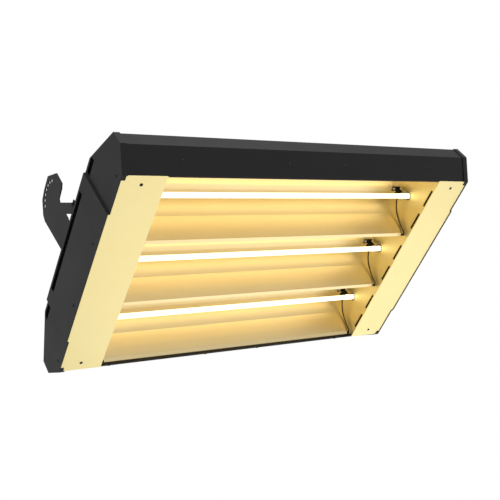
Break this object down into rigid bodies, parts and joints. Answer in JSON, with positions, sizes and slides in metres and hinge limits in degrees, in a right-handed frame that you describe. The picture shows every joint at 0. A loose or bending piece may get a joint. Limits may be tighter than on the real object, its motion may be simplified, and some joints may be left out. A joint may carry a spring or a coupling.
{
  "type": "overhead infrared heater",
  "caption": "Long shallow housing with gold reflector troughs and glowing quartz tubes in its open front, and tilting hang brackets on its back.",
  "frame": {"origin": "centre of the open front face, on the plane that the housing rests on when it lies face down", "axes": "+X along the lamps towards the cable entry, +Y across the lamps, +Z from the open front to the back and its brackets"},
  "size_m": [0.9178, 0.5914, 0.3125],
  "materials": {
    "black_powder_coat": "fine textured satin powder coat",
    "black_screw": "black oxide",
    "gold_panel": "pale gold anodised, satin",
    "gold_reflector": "gold anodised, semi-specular",
    "quartz": "clear quartz, lit",
    "filament": "glowing tungsten",
    "lamp_ceramic": "unglazed steatite",
    "spring_steel": "heat-blued spring steel",
    "lead_sleeve": "braided glass sleeve, brown",
    "terminal_ceramic": "unglazed",
    "gland_nylon": "black nylon",
    "galvanised_steel": "galvanised sheet",
    "zinc_plate": "zinc plated"
  },
  "bodies": {
    "heater": {"back_panel": "black_powder_coat", "back_panel_screws": "zinc_plate", "block_screws": "zinc_plate", "bracket_foot_left": "black_powder_coat", "bracket_foot_right": "black_powder_coat", "bracket_foot_screws": "zinc_plate", "cable_gland": "gland_nylon", "cable_gland_nut": "gland_nylon", "clip_screws": "zinc_plate", "end_cap_left": "black_powder_coat", "end_cap_right": "black_powder_coat", "end_cap_screws": "black_screw", "end_panel_left": "gold_panel", "end_panel_right": "gold_panel", "end_panel_screws": "black_screw", "entry_cover": "black_powder_coat", "entry_cover_screws": "zinc_plate", "lamp_bases_1": "lamp_ceramic", "lamp_bases_2": "lamp_ceramic", "lamp_bases_3": "lamp_ceramic", "lamp_clip_left_1": "spring_steel", "lamp_clip_left_2": "spring_steel", "lamp_clip_left_3": "spring_steel", "lamp_clip_right_1": "spring_steel", "lamp_clip_right_2": "spring_steel", "lamp_clip_right_3": "spring_steel", "lamp_filament_1": "filament", "lamp_filament_2": "filament", "lamp_filament_3": "filament", "lamp_lead_left_1": "lead_sleeve", "lamp_lead_left_2": "lead_sleeve", "lamp_lead_left_3": "lead_sleeve", "lamp_lead_right_1": "lead_sleeve", "lamp_lead_right_2": "lead_sleeve", "lamp_lead_right_3": "lead_sleeve", "lamp_tube_1": "quartz", "lamp_tube_2": "quartz", "lamp_tube_3": "quartz", "panel_tabs": "galvanised_steel", "reflector_1": "gold_reflector", "reflector_2": "gold_reflector", "reflector_3": "gold_reflector", "reflector_clasps_lower": "galvanised_steel", "reflector_clasps_upper": "galvanised_steel", "reflector_support_left": "galvanised_steel", "reflector_support_right": "galvanised_steel", "side_rail_lower": "black_powder_coat", "side_rail_screws": "black_screw", "side_rail_upper": "black_powder_coat", "terminal_block": "terminal_ceramic", "terminal_screws": "zinc_plate"},
    "left_bracket": {"tilt_bracket_left": "black_powder_coat", "pivot_stud_left": "black_powder_coat", "pivot_washers_left": "zinc_plate", "pivot_nut_left": "zinc_plate"},
    "right_bracket": {"tilt_bracket_right": "black_powder_coat", "pivot_stud_right": "black_powder_coat", "pivot_washers_right": "zinc_plate", "pivot_nut_right": "zinc_plate"}
  },
  "joints": [
    {"name": "left_tilt", "type": "hinge", "parent": "heater", "child": "left_bracket", "pos_m": [-0.437, 0.027, 0.175], "axis": [1, 0, 0], "range_deg": [-45, 45]},
    {"name": "right_tilt", "type": "hinge", "parent": "heater", "child": "right_bracket", "pos_m": [0.437, 0.027, 0.175], "axis": [1, 0, 0], "range_deg": [-45, 45]}
  ],
  "couplings": [
    {"joint": "right_tilt", "follows": "left_tilt", "ratio": 1}
  ]
}
